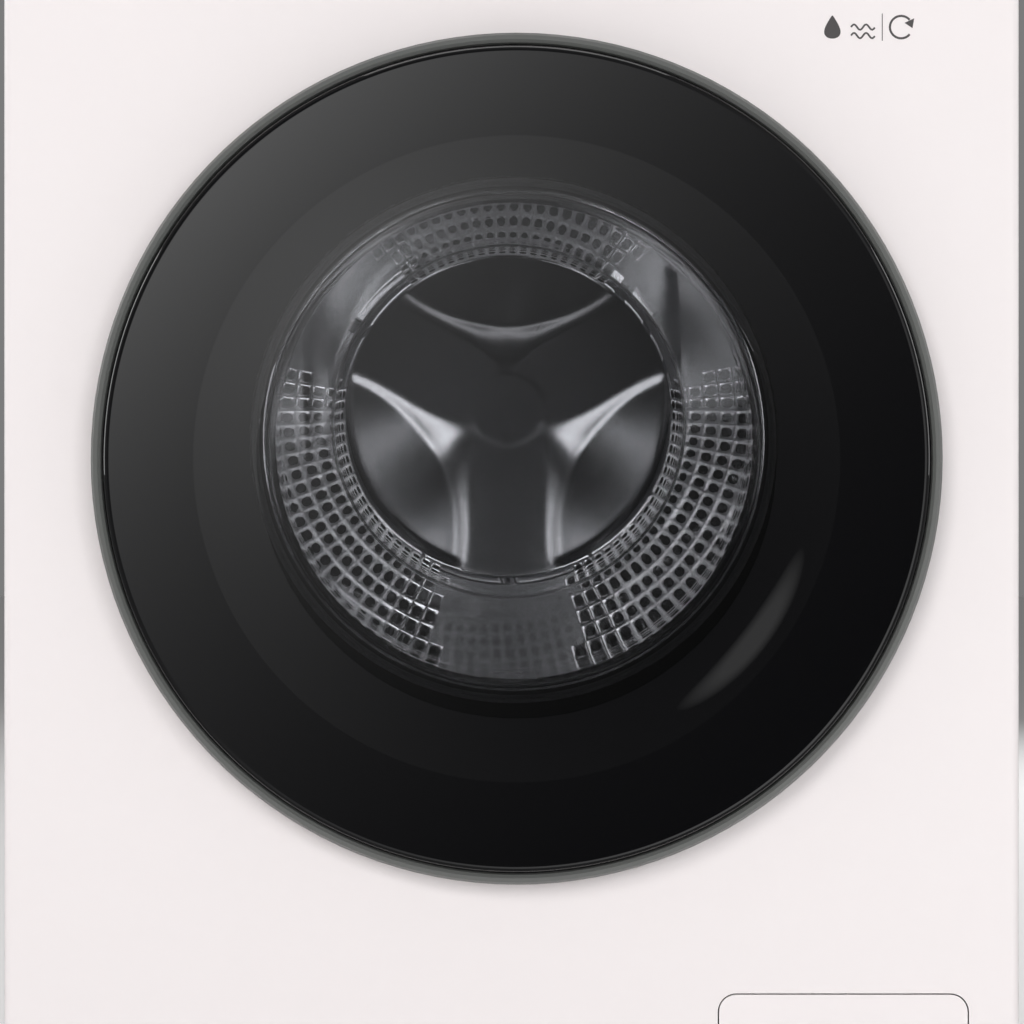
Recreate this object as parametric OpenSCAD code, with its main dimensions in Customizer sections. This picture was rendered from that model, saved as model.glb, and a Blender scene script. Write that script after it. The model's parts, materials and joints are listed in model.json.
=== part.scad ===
// Front load washing machine with a full-face round glass door.
// Frame: +X to the user's right, -Y towards the user, +Z up, origin on the floor under the centre.

/* [Cabinet] */
// Width over the side walls
cab_w = 600; // [596:1:604]
// Height from the floor to the worktop
cab_h = 850; // [848:1:860]
// Sheet steel thickness
sheet = 1.2; // [0.8:0.1:1.5]
// Radius of the front panel's upright edges
edge_r = 5; // [4:0.5:6]
// Height of the seam between the front panel and the control fascia
seam_z = 744; // [742:1:745]

/* [Door] */
// Outer radius of the trim ring
ring_r = 246; // [244:0.5:247]
// Radius of the tinted cover glass
cover_r = 238; // [237:0.5:238.5]
// Depth of the dish in the middle of the cover glass
dish_depth = 8; // [6:0.5:9]
// Radius of the clear window in the door frame
window_r = 152; // [150:0.5:153]
// Radius of the mouth of the glass bowl
bowl_mouth_r = 141; // [138:0.5:142]
// Radius of the flat end of the glass bowl
bowl_end_r = 106; // [98:1:106]

/* [Drum and tub] */
// Outer radius of the drum
drum_r = 240; // [234:1:242]
// Radius of the drum's mouth
drum_mouth_r = 168; // [166:1:170]
// Outer radius of the tub
tub_r = 262; // [260:1:263]
// Height of the drum's axis
drum_z = 500; // [498:1:501]
// Radius of the drum shaft in its front bearing
shaft_r = 15; // [14:0.5:15]

/* [Controls] */
// Radius of the programme dial
dial_r = 26; // [22:1:28]
// Radius of the push buttons
button_r = 9; // [7:0.5:10]
// Width of the detergent drawer's front
drawer_w = 166; // [150:1:168]

/* [Filter flap] */
// Width of the flap
flap_w = 146.4; // [140:0.2:146.4]
// Height of the flap
flap_h = 112.4; // [100:0.2:112.4]

/* [Hidden] */
$fn = 96;

// Colours
c_white = [0.96, 0.94, 0.94];
c_black = [0.05, 0.05, 0.055];
c_trim = [0.42, 0.43, 0.43];
c_zinc = [0.66, 0.68, 0.7];
c_steel = [0.78, 0.79, 0.8];
c_rubber = [0.45, 0.46, 0.47];
c_plastic = [0.8, 0.81, 0.82];
c_glass = [0.6, 0.7, 0.75, 0.4];

// Main planes: the front panel's face, the cabinet's back and the whole object's two ends
front_y = -257;
back_y = 300;
crest_y = -310;
rear_y = 310;
half_w = cab_w / 2;
panel_half = half_w - 0.6;
return_y = -238;
shell_y = -236;
skin_y = front_y + sheet;
back_seam_x = 288;

// Heights of the cabinet's parts
floor_z = 30;
pan_h = 28;
top_t = 24;
top_z = cab_h - top_t;
fascia_z = seam_z + 1;

// Axes seen from the front, as [x, z]: door ring, porthole, bowl end, drum, filter and latch
ring_c = [3, 468];
port_c = [1.5, 478.5];
bowl_c = [-2, 491];
bowl_shoulder_c = port_c + 0.8 * (bowl_c - port_c);
drum_c = [-3, drum_z];
filter_c = [195, 95];
latch_c = [200, 478];
flap_c = [195.5, 95.8];
flap_axis = [-253.5, 50.6];
flap_pin_r = 1.5;
drawer_c = [-203, 786];
dial_c = [0, 785];
display_c = [128, 785];
power_c = [265, 785];
start_c = [226, 785];

// Porthole and seal
port_r = 168;
lip_in = 142;
neck_r = 172;
neck_y = -212;

// Door hinge: upright axis inside the door's left edge, and the two gooseneck arms
hinge_x = -224;
hinge_y = -285;
arm_reach = 35;
arm_t = 6;
arm_z = [435, 490];
arm_h = 11;
pin_r = 3.5;
eye_r = 5.5;
notch_y = -277;
run_gap = 0.05;
door_back = -262;
door_rim_back = -268;

// Tub and drum stations along the axis
tub_front_y = -200;
tub_split_y = -20;
tub_back_y = 204;
tub_wall = 4;
flange_r = 272;
drum_front_y = -176;
drum_back_y = 170;
star_r = 125;
lobe_r = 118;
lobe_c = 175;
arm_angles = [270, 30, 150];
tub_screw_r = 267;

// Suspension
spring_x = 225;
spring_y = 120;
beam_z = 792;
ear_z = 690;
damper_x = 150;
damper_y = 70;
rod_r = 5;

// Feet, rear screws and plugs
foot_at = [[-255, -200], [255, -200], [-255, 255], [255, 255]];
stud_r = 5;
cover_c = [-3, 455];
cover_w = 420;
cover_h = 440;
cover_screws = [for (sx = [-1, 1], sz = [-1, 0, 1]) [cover_c[0] + sx * 200, cover_c[1] + sz * 200]];
plug_at = [[-235, 690], [235, 690], [-235, 210], [235, 210]];
valve_x = [-232, -188];
valve_z = 785;
thread_r = 13.22;
drain_c = [250, 770];
drain_r = 11;
gland_c = [-250, 110];
cord_r = 4.5;

// Fittings that several parts share: outlets and the siphon post from above, heater rods, screws, bearings
outlet_at = [-150, -60];
siphon_at = [-145, -40];
sump_at = [40, -120];
heater_x = [-19, 13];
heater_z = 232;
heater_r = 4;
screw_angles = [15:30:359];
front_bearing_r = 31;
rear_bearing_r = 26;
rear_shaft_r = 12.5;
pump_inlet_y = -205;
pump_outlet_y = -162;
impeller_pin_r = 3;
dial_pin_r = 3;
latch_pin_r = 2;
beam_half = 15;

// The filter's bore and the counterweights' inner radius
filter_bore_r = 27;
weight_in_r = 200;
weight_y = -232;

// Free-standing hose routes
fill_route = [[-210, 240, 772], [-206, 165, 768], [-204, 110, 770], [-200, 81, 790]];
sump_route = [[40, -120, 180], [42, -123, 152], [62, -142, 116], [105, -192, 96], [138, -205, 95]];
drain_route = [
    [195, -162, 151], [208, -158, 192], [266, -150, 246], [287, -140, 330],
    [287, -110, 610], [284, 150, 735], [252, 262, 760], [250, 292, 770]
];

// A solid between two corners
module box(low, high) {
    translate(low) cube(high - low);
}

// An outline in the X-Z plane, as solid between two depths
module slab(y0, y1) {
    translate([0, y1, 0]) rotate([90, 0, 0]) linear_extrude(y1 - y0) children();
}

// A rod along Y through the point c = [x, z]
module yrod(c, y0, y1, r) {
    slab(y0, y1) translate(c) circle(r);
}

// A tube along Y through the point c = [x, z]
module ytube(c, y0, y1, ro, ri) {
    slab(y0, y1) translate(c) ring(ro, ri);
}

// A profile of [radius, y] points turned about the Y line through c
module lathe(c) {
    translate([c[0], 0, c[1]]) rotate([-90, 0, 0]) rotate_extrude() children();
}

module ring(ro, ri) {
    difference() {
        circle(ro);
        circle(ri);
    }
}

module rrect(w, h, r) {
    square([w - 2 * r, h], center = true);
    square([w, h - 2 * r], center = true);
    for (sx = [-1, 1], sz = [-1, 1]) translate([sx * (w / 2 - r), sz * (h / 2 - r)]) circle(r);
}

// A ring's sector between two angles
module sector(ro, ri, a0, a1) {
    reach = 1.6 * ro;
    intersection() {
        ring(ro, ri);
        polygon(concat([[0, 0]], [for (i = [0:6]) let (a = a0 + (a1 - a0) * i / 6) reach * [cos(a), sin(a)]]));
    }
}

// A hose of radius r through a route's points
module hose(route, r) {
    for (i = [0:len(route) - 2]) hull() {
        translate(route[i]) sphere(r, $fn = 20);
        translate(route[i + 1]) sphere(r, $fn = 20);
    }
}

// A thin disc facing Y, for hulls
module disc(c, y, r, t = 0.5) {
    slab(y, y + t) translate(c) circle(r, $fn = 64);
}

// ---- Cabinet ----

module shell_plan(inset) {
    depth = back_y - shell_y;
    translate([0, back_y - inset - (depth + 40) / 2])
        rrect(cab_w - 2 * inset, depth + 40, 6 - inset);
}

module cabinet_shell() color(c_white) difference() {
    translate([0, 0, floor_z]) linear_extrude(top_z - floor_z) {
        difference() {
            shell_plan(0);
            shell_plan(sheet);
            translate([-half_w - 1, shell_y - 60]) square([cab_w + 2, 60]);
            for (s = [-1, 1]) translate([s * back_seam_x, back_y]) square([0.4, 10], center = true);
        }
        for (s = [-1, 1]) translate([s * (half_w - 6.5), shell_y + sheet / 2]) square([13, sheet], center = true);
    }
    slab(back_y - 3, back_y + 1) translate(cover_c) rrect(cover_w - 40, cover_h - 60, 60);
    for (p = cover_screws) yrod(p, back_y - 3, back_y + 1, 2.1);
    for (p = plug_at) yrod(p, back_y - 3, back_y + 1, 14);
    for (x = valve_x) yrod([x, valve_z], back_y - 3, back_y + 1, 16);
    yrod(drain_c, back_y - 3, back_y + 1, drain_r + 5);
    yrod(gland_c, back_y - 3, back_y + 1, 10.2);
}

module rear_cover() color(c_zinc) {
    dish = [[0, 4.8], [139.5, 4.8], [150.5, 0], [150.5, 1.2], [140, 6], [0, 6]];
    difference() {
        slab(back_y, back_y + 1.2) translate(cover_c) rrect(cover_w, cover_h, 20);
        yrod(cover_c, back_y - 1, back_y + 2, 150);
        for (p = cover_screws) yrod(p, back_y - 1, back_y + 2, 2.1);
    }
    translate([0, back_y, 0]) lathe(cover_c) polygon(dish);
}

module base_pan() color(c_zinc) difference() {
    union() {
        difference() {
            box([-half_w + sheet, -234, floor_z], [half_w - sheet, 292, floor_z + pan_h]);
            box([-half_w + 3, -232.4, floor_z + 1.5], [half_w - 3, 290.4, floor_z + pan_h + 1]);
        }
        for (p = foot_at) translate([p[0], p[1], floor_z]) cylinder(r = 14, h = 22);
    }
    for (p = foot_at) translate([p[0], p[1], floor_z - 1]) cylinder(r = stud_r + 0.1, h = 30);
}

module feet() color(c_black) for (p = foot_at) translate([p[0], p[1], 0]) {
    cylinder(r1 = 22, r2 = 18, h = 12);
    cylinder(r = stud_r, h = 60);
}

module foot_locknuts() color(c_zinc) for (p = foot_at) translate([p[0], p[1], 21]) difference() {
    cylinder(r = 9.8, h = 8.8, $fn = 6);
    translate([0, 0, -1]) cylinder(r = stud_r + 0.1, h = 11);
}

module top_cover() color(c_white) difference() {
    translate([0, (back_y - 260) / 2, top_z]) linear_extrude(top_t) rrect(cab_w, back_y + 260, 6);
    translate([0, (back_y - 260) / 2, top_z - 1]) linear_extrude(top_t - 5) rrect(cab_w - 24, back_y + 236, 4);
}

// The front panel's and the fascia's bent profile, seen from above
module front_plan(t) {
    depth = return_y - front_y;
    difference() {
        translate([0, front_y + depth / 2 + 10]) rrect(2 * panel_half, depth + 20, edge_r);
        translate([0, front_y + t + depth / 2 + 10]) rrect(2 * (panel_half - t), depth + 20, edge_r - t);
        translate([-half_w - 1, return_y]) square([cab_w + 2, 30]);
    }
}

module front_panel() color(c_white) {
    ear_x = flap_w / 2 + 3.3;
    difference() {
        union() {
            translate([0, 0, floor_z]) linear_extrude(seam_z - floor_z) front_plan(sheet);
            for (z = [floor_z, seam_z - sheet])
                box([-panel_half + edge_r, front_y + 1, z], [panel_half - edge_r, return_y, z + sheet]);
            ytube(port_c, front_y + 1, -242, port_r, port_r - sheet);
        }
        yrod(port_c, front_y - 1, -241, port_r - sheet);
        slab(front_y - 1, skin_y + 0.5) translate(flap_c) rrect(flap_w + 1.6, flap_h + 1.6, 11);
        slab(front_y - 1, skin_y + 0.5) translate([203, latch_c[1]]) square([26, 20], center = true);
    }
    for (s = [-1, 1]) difference() {
        translate([flap_c[0] + s * ear_x, skin_y + 2.3, flap_axis[1]]) cube([4, 4.8, 8], center = true);
        translate([flap_c[0] + s * ear_x - 3, flap_axis[0], flap_axis[1]]) rotate([0, 90, 0])
            cylinder(r = flap_pin_r + run_gap, h = 6);
    }
}

module control_fascia() color(c_white) {
    wall = 2.5;
    difference() {
        union() {
            translate([0, 0, fascia_z]) linear_extrude(top_z - 1 - fascia_z) front_plan(wall);
            for (z = [fascia_z, top_z - 1 - wall])
                box([-panel_half + edge_r, front_y + 1, z], [panel_half - edge_r, return_y, z + wall]);
        }
        slab(front_y - 1, front_y + 3) translate(drawer_c) rrect(drawer_w + 2, 72, 4);
        slab(front_y - 1, front_y + 3) translate(display_c) rrect(120.4, 34.4, 4.2);
        slab(front_y - 1, front_y + 3) translate(dial_c) circle(5);
        for (p = [power_c, start_c]) slab(front_y - 1, front_y + 3) translate(p) circle(button_r + 0.5);
        box([-289, -250, 748], [-117, return_y + 1, 822.4]);
    }
}

module top_braces() color(c_zinc) {
    box([-half_w + sheet, -234.6, 746], [half_w - sheet, -232.6, 765]);
    box([-half_w + sheet, spring_y - beam_half, beam_z], [half_w - sheet, spring_y + beam_half, beam_z + 6]);
    box([-half_w + sheet, 266, 800], [half_w - sheet, 288, 803]);
}

// ---- Controls ----

module display_window() color(c_black) slab(front_y - 1, front_y + 2.5) translate(display_c) rrect(120, 34, 4);

module control_board() color([0.1, 0.35, 0.2]) {
    slab(-233, -231.4) translate([132, 789]) rrect(320, 44, 3);
    slab(-246, -233) translate(dial_c) square(15, center = true);
    yrod(dial_c, -270, -245, dial_pin_r);
    slab(-252, -233) translate(display_c) rrect(112, 28, 2);
    for (p = [power_c, start_c]) slab(-250, -233) translate(p) circle(4);
}

module dial() color(c_white) difference() {
    union() {
        yrod(dial_c, -280, -259, dial_r);
        yrod(dial_c, -261.5, front_y - 0.4, dial_r + 3);
    }
    yrod(dial_c, -271, front_y, dial_pin_r + run_gap);
    slab(-281, -278.6) translate(dial_c + [0, dial_r - 8]) square([2.4, 10], center = true);
}

module push_button(c) {
    yrod(c, front_y - 2.5, -254, button_r);
    yrod(c, -254.3, -252.6, button_r + 2);
    yrod(c, -253, -251.8, 3);
}

module power_button() color(c_trim) push_button(power_c);

module start_button() color(c_trim) push_button(start_c);

// ---- Detergent dispenser ----

module dispenser_housing() color(c_plastic) difference() {
    union() {
        box([-291, -231.8, 766], [-115, 62, 821]);
        translate([outlet_at[0], outlet_at[1], 752]) cylinder(r = 17, h = 16);
        yrod([-200, 790], 60, 80, 8);
    }
    box([-288.6, -232.8, 768.4], [-117.4, 59.6, 818.6]);
    translate([outlet_at[0], outlet_at[1], 751]) cylinder(r = 14, h = 20);
    yrod([-200, 790], 58, 81, 6);
}

module drawer_front() color(c_white) difference() {
    slab(front_y, -253) translate(drawer_c) rrect(drawer_w, 70, 3);
    box([drawer_c[0] - 36, front_y - 1, 750], [drawer_c[0] + 36, -254.6, 758]);
}

module drawer_tray() color(c_plastic) {
    difference() {
        box([-284, -253, 770.5], [-122, 40, 814]);
        box([-282, -250, 773], [-226, 38, 815]);
        box([-224, -250, 773], [-168, 38, 815]);
        box([-166, -250, 773], [-124, 38, 815]);
    }
    translate([siphon_at[0], siphon_at[1], 772]) difference() {
        cylinder(r = 4, h = 24);
        translate([0, 0, 1.5]) cylinder(r = 2, h = 30);
    }
}

module siphon_cap() color([0.3, 0.5, 0.75]) translate([siphon_at[0], siphon_at[1], 776]) difference() {
    cylinder(r = 8, h = 26);
    translate([0, 0, -1]) cylinder(r = 5, h = 25);
}

module dispenser_bellows() color(c_rubber) translate(outlet_at) rotate_extrude() polygon(concat(
    [[20, 757]], [for (i = [0:5]) [i % 2 == 0 ? 24 : 21, 754 - 4 * i]], [[20, 731]], [[18.3, 731], [18.3, 757]]
));

module inlet_valve() color(c_plastic) {
    difference() {
        union() {
            box([-250, 262, 770], [-170, 297, 800]);
            for (x = valve_x) yrod([x, valve_z], 296, rear_y, thread_r);
            yrod([-210, 772], 241, 264, 7);
        }
        for (x = valve_x) yrod([x, valve_z], 270, rear_y + 1, 9);
    }
}

module fill_hose() color(c_rubber) hose(fill_route, 8.5);

// ---- Electrics ----

module main_board_case() color(c_black) {
    difference() {
        box([120, 150, 776], [280, 250, 822]);
        box([122, 152, 778], [278, 248, 820]);
    }
    box([130, 160, 782], [270, 240, 784]);
    for (x = [134, 266]) box([x - 3, 165, 777], [x + 3, 171, 783]);
}

module pressure_sensor() color(c_plastic) translate([60, 262, 786]) {
    cylinder(r = 20, h = 14);
    translate([0, 0, -10]) cylinder(r = 4, h = 12);
}

module cord_gland() color(c_black) difference() {
    union() {
        yrod(gland_c, 290, 306, 10);
        yrod(gland_c, 294, 298.6, 14);
        yrod(gland_c, back_y + 0.1, 302.5, 14);
    }
    yrod(gland_c, 289, 307, cord_r);
}

// ---- Drainage ----

module drain_pump() color(c_plastic) {
    difference() {
        union() {
            yrod(filter_c, -236, -148, 32);
            yrod(filter_c, -150, -96, 26);
            translate([140, pump_inlet_y, filter_c[1]]) rotate([0, 90, 0]) cylinder(r = 16, h = 30);
            translate([filter_c[0], pump_outlet_y, 120]) cylinder(r = 11, h = 28);
            box([180, -200, floor_z + 1.5], [210, -104, 72]);
        }
        yrod(filter_c, -237, -152, filter_bore_r);
        translate([139, pump_inlet_y, filter_c[1]]) rotate([0, 90, 0]) cylinder(r = 13, h = 40);
        translate([filter_c[0], pump_outlet_y, 115]) cylinder(r = 8, h = 34);
    }
    yrod(filter_c, -160, -150, impeller_pin_r);
}

module pump_impeller() color(c_black) difference() {
    union() {
        yrod(filter_c, -172, -155, 7);
        for (a = [0:60:179]) slab(-172, -156) translate(filter_c) rotate(a) square([40, 2.4], center = true);
        yrod(filter_c, -157.5, -155, 20);
    }
    yrod(filter_c, -165, -150, impeller_pin_r + run_gap);
}

module filter_cap() color(c_black) {
    difference() {
        union() {
            yrod(filter_c, -246, -236.4, 31);
            yrod(filter_c, -237, -178, filter_bore_r - 0.6);
        }
        yrod(filter_c, -233, -177, 23);
        for (a = [0:45:179]) slab(-224, -184) translate(filter_c) rotate(a) square([60, 8], center = true);
    }
    slab(-252, -245) translate(filter_c) rrect(46, 9, 3);
}

module sump_hose() color(c_rubber) hose(sump_route, 16);

module drain_hose() color(c_rubber) {
    hose(drain_route, 9.5);
    yrod(drain_c, 296, 309, drain_r);
}

// ---- Filter flap ----

module filter_flap() color(c_white) {
    slab(front_y, front_y + 2.4) translate(flap_c) rrect(flap_w, flap_h, 10.2);
    for (s = [-1, 1]) {
        translate([flap_c[0] + s * (flap_w / 2 - 3.5), flap_axis[0], flap_axis[1]]) {
            cube([5, 4, 5], center = true);
            translate([s > 0 ? 0 : -8.5, 0, 0]) rotate([0, 90, 0]) cylinder(r = flap_pin_r, h = 8.5);
        }
    }
}

// ---- Suspension ----

module suspension_springs() color(c_steel) for (s = [-1, 1])
    translate([drum_c[0] + s * spring_x, spring_y, ear_z + 0.3]) difference() {
        cylinder(r = 13, h = beam_z - ear_z - 0.6);
        translate([0, 0, -1]) cylinder(r = 9, h = beam_z - ear_z + 2);
    }

module damper_cylinders() color(c_black) for (s = [-1, 1]) translate([drum_c[0] + s * damper_x, damper_y, 0])
    difference() {
        union() {
            translate([0, 0, floor_z + 1.5]) cylinder(r = 24, h = 8);
            translate([0, 0, floor_z + 1.5]) cylinder(r = 15, h = 135);
        }
        translate([0, 0, 60]) cylinder(r = rod_r + run_gap, h = 120);
    }

module damper_rods() color(c_steel) for (s = [-1, 1])
    translate([drum_c[0] + s * damper_x, damper_y, 90]) cylinder(r = rod_r, h = 180);

// ---- Tub ----

module tub_front_shell() color(c_plastic) difference() {
    union() {
        yrod(drum_c, tub_front_y, tub_split_y, tub_r);
        yrod(drum_c, tub_split_y - 6, tub_split_y, flange_r);
        yrod(drum_c, neck_y, tub_front_y + 1, neck_r + 4);
        box([-55, tub_front_y, 213], [49, -30, 300]);
        translate([sump_at[0], sump_at[1], 197]) cylinder(r = 15, h = 18);
        translate([outlet_at[0], outlet_at[1], 690]) cylinder(r = 18, h = 38);
    }
    yrod(drum_c, tub_front_y + tub_wall, tub_split_y + 1, tub_r - tub_wall);
    yrod(drum_c, neck_y - 1, tub_front_y + 5, neck_r);
    box([-51.5, tub_front_y + tub_wall, 216.5], [45.5, -34, 300]);
    translate([sump_at[0], sump_at[1], 190]) cylinder(r = 12, h = 30);
    translate([outlet_at[0], outlet_at[1], 680]) cylinder(r = 14, h = 60);
    for (x = heater_x) yrod([x, heater_z], tub_front_y - 1, tub_front_y + 6, heater_r + 0.1);
    for (a = screw_angles) yrod(drum_c + tub_screw_r * [cos(a), sin(a)], -27, tub_split_y + 1, 2.6);
}

module tub_rear_shell() color(c_plastic) difference() {
    union() {
        yrod(drum_c, tub_split_y, tub_back_y, tub_r);
        yrod(drum_c, tub_split_y, tub_split_y + 6, flange_r);
        yrod(drum_c, tub_back_y - 1, 245, 42);
        for (s = [-1, 1]) {
            x = drum_c[0] + s * spring_x;
            box([x - 9, spring_y - 8, 610], [x + 9, spring_y + 8, ear_z]);
            xd = drum_c[0] + s * damper_x;
            box([xd - 10, damper_y - 10, 270], [xd + 10, damper_y + 10, 300]);
        }
    }
    yrod(drum_c, tub_split_y - 1, tub_back_y - 8, tub_r - tub_wall);
    yrod(drum_c, tub_back_y - 9, 222, front_bearing_r);
    yrod(drum_c, 221, 230, 20);
    yrod(drum_c, 229, 246, rear_bearing_r);
    for (a = screw_angles) yrod(drum_c + tub_screw_r * [cos(a), sin(a)], tub_split_y - 1, -13, 2.6);
}

module tub_screws() color(c_steel) for (a = screw_angles) {
    p = drum_c + tub_screw_r * [cos(a), sin(a)];
    yrod(p, -30, -26, 4.6);
    yrod(p, -27, -10, 2.5);
}

module upper_counterweight() color([0.4, 0.4, 0.4]) slab(weight_y, tub_front_y - 0.2) translate(drum_c)
    sector(236, weight_in_r, 45, 135);

module lower_counterweight() color([0.4, 0.4, 0.4]) slab(weight_y, tub_front_y - 0.2) translate(drum_c)
    sector(250, weight_in_r, 205, 335);

module heater() color(c_steel) {
    for (x = heater_x) yrod([x, heater_z], -206, -50, heater_r);
    box([heater_x[0] - heater_r, -54, heater_z - heater_r], [heater_x[1] + heater_r, -46, heater_z + heater_r]);
    slab(-207, tub_front_y - 0.2) translate([drum_c[0], heater_z]) rrect(58, 26, 6);
}

module bearings() color(c_steel) {
    ytube(drum_c, 206.2, 221.8, front_bearing_r - run_gap, shaft_r + run_gap);
    ytube(drum_c, 230.2, 244.8, rear_bearing_r - run_gap, rear_shaft_r + run_gap);
}

module shaft_seal() color(c_rubber) ytube(drum_c, 197, 205.8, front_bearing_r - 0.1, shaft_r + 0.1);

module stator() color([0.72, 0.45, 0.25]) {
    ytube(drum_c, tub_back_y, 240, 66, 43);
    ytube(drum_c, 214, 236, 92, 60);
    for (a = [0:10:359]) slab(212, 238) translate(drum_c) rotate(a)
        translate([110, 0]) square([42, 9], center = true);
}

// ---- Drum ----

module drum_shell() color(c_steel) {
    ytube(drum_c, drum_front_y, drum_back_y + 12, drum_r, drum_r - sheet);
    lathe(drum_c) polygon([
        [drum_r - 1, drum_front_y + 1], [drum_r - 6, drum_front_y - 3], [drum_mouth_r + 4, drum_front_y - 6],
        [drum_mouth_r, drum_front_y - 2], [drum_mouth_r, drum_front_y + 6], [drum_mouth_r + 2, drum_front_y + 6],
        [drum_mouth_r + 2, drum_front_y - 1], [drum_mouth_r + 5, drum_front_y - 4], [drum_r - 6, drum_front_y - 1],
        [drum_r - 1.5, drum_front_y + 3]
    ]);
}

// One of the three recessed lobes between the raised arms of the drum's back
module lobe(inset) {
    intersection() {
        circle(star_r - inset);
        translate([0, lobe_c]) circle(lobe_r - inset);
    }
}

module drum_back() color(c_steel) {
    skirt = [
        [star_r + 1, -1.3], [drum_r - sheet - 0.3, -18], [drum_r - sheet - 0.3, -16.5], [star_r + 1, -0.2]
    ];
    difference() {
        union() {
            yrod(drum_c, drum_back_y - 1.5, drum_back_y, star_r + 2);
            for (a = arm_angles) slab(drum_back_y - 1, drum_back_y + 8) translate(drum_c) rotate(a + 90) lobe(0);
        }
        for (a = arm_angles) slab(drum_back_y - 2, drum_back_y + 6.5) translate(drum_c) rotate(a + 90) lobe(1.5);
    }
    translate([0, drum_back_y, 0]) lathe(drum_c) polygon(skirt);
}

module drum_lifters() color(c_plastic) for (a = arm_angles) slab(-150, 140) translate(drum_c) rotate(a)
    polygon([[drum_r - 4.6, -30], [drum_r - 4.6, 30], [206, 16], [192, 9], [189, 0], [192, -9], [206, -16]]);

module drum_spider() color([0.62, 0.63, 0.65]) difference() {
    union() {
        yrod(drum_c, drum_back_y + 2, 194, 38);
        for (a = arm_angles) slab(drum_back_y + 2, 186) translate(drum_c) rotate(a)
            polygon([[0, -24], [236, -15], [236, 15], [0, 24]]);
        for (a = arm_angles) slab(152, 186) translate(drum_c) rotate(a)
            translate([227, 0]) square([18, 30], center = true);
    }
    yrod(drum_c, drum_back_y - 30, 195, shaft_r + run_gap);
    translate([0, drum_back_y, 0]) lathe(drum_c) polygon([
        [star_r - 6, -30], [drum_r, -30], [drum_r, -16], [star_r - 6, 0.6]
    ]);
}

module drum_shaft() color(c_steel) {
    yrod(drum_c, drum_back_y + 2, 226, shaft_r);
    yrod(drum_c, 225, 263, rear_shaft_r);
    slab(263, 271) translate(drum_c) circle(11, $fn = 6);
}

module rotor() color([0.35, 0.36, 0.38]) {
    ytube(drum_c, 246, 262.8, 24, rear_shaft_r + run_gap);
    difference() {
        yrod(drum_c, 210, 252, 142);
        yrod(drum_c, 209, 249, 137);
        yrod(drum_c, 240, 253, 20);
        for (a = [0:40:359]) slab(245, 255) translate(drum_c) rotate(a)
            translate([75, 0]) square([50, 16], center = true);
    }
}

// ---- Door ----

// Height of the cover glass's outer face at radius r: a flat rim round a shallow dish
dish_in = 150;
dish_out = 186;
function dish_share(t) = t <= 0 ? 0 : t >= 1 ? 1 : t * (1.08 - 0.08 * t);
function face_y(r) = crest_y + dish_depth * (1 - dish_share((r - dish_in) / (dish_out - dish_in)));
dish_radii = [for (i = [0:9]) dish_in + i * (dish_out - dish_in) / 9];
rim_r = 3;
rim_arc = [for (a = [0:15:90]) [cover_r - rim_r * (1 - sin(a)), crest_y + rim_r * (1 - cos(a))]];

module door_cover() color(c_black) lathe(ring_c) polygon(concat(
    [[0, crest_y + dish_depth]],
    [for (r = dish_radii) [r, face_y(r)]],
    rim_arc,
    [[cover_r, crest_y + 8], [cover_r - 9, crest_y + 4]],
    [for (i = [9:-1:0]) [dish_radii[i], face_y(dish_radii[i]) + 4]],
    [[0, crest_y + dish_depth + 4]]
));

// Room in the rim's left rear for the hinge arms to swing through
module arm_notches() for (z = arm_z) box([-252, notch_y, z - 2], [-176, door_back + 2, z + arm_h + 2]);

module door_trim_ring() color(c_trim) difference() {
    lathe(ring_c) polygon([
        [239.4, -300], [240.2, -302.6], [242, -304], [244.4, -303.4], [ring_r, -300.5], [ring_r, -272],
        [ring_r - 1.6, door_rim_back], [239.4, door_rim_back]
    ]);
    arm_notches();
}

module door_frame() color(c_black) {
    shell = concat(
        [[136, crest_y + dish_depth + 4.3]],
        [for (r = dish_radii) [r, face_y(r) + 4.3]],
        [[cover_r - 10, crest_y + 4.3], [cover_r - 1, crest_y + 9], [cover_r + 1, crest_y + 9]],
        [[cover_r + 1, door_rim_back], [236, door_rim_back]],
        [[236, crest_y + 12.4], [cover_r - 11, crest_y + 7]],
        [for (i = [9:-1:0]) [dish_radii[i], face_y(dish_radii[i]) + 7]],
        [[136, crest_y + dish_depth + 7]]
    );
    difference() {
        union() {
            lathe(ring_c) polygon(shell);
            ytube(ring_c, -302, door_rim_back, 175, 172);
            box([hinge_x - 5, -302.6, 448], [hinge_x + 8, hinge_y, 488]);
            translate([hinge_x, hinge_y, 448]) cylinder(r = 7, h = 40);
            for (z = [464, 487]) box([194, -304, z], [206, -276, z + 5]);
        }
        arm_notches();
        yrod(port_c, -312, -260, window_r);
        translate([hinge_x, hinge_y, 400]) cylinder(r = pin_r + run_gap, h = 140);
        translate([latch_c[0], -280, 460]) cylinder(r = latch_pin_r + run_gap, h = 40);
    }
}

module door_bowl() color(c_glass) difference() {
    union() {
        yrod(port_c, -294.6, -289, 157);
        hull() {
            disc(port_c, -290, bowl_mouth_r + 5);
            disc(bowl_shoulder_c, -156, bowl_end_r + 8);
            disc(bowl_c, -128, bowl_end_r);
            disc(bowl_c, -119.5, bowl_end_r - 6);
        }
    }
    hull() {
        disc(port_c, -295.5, bowl_mouth_r);
        disc(bowl_shoulder_c, -159, bowl_end_r + 3);
        disc(bowl_c, -133, bowl_end_r - 5);
        disc(bowl_c, -125.5, bowl_end_r - 12);
    }
}

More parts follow.
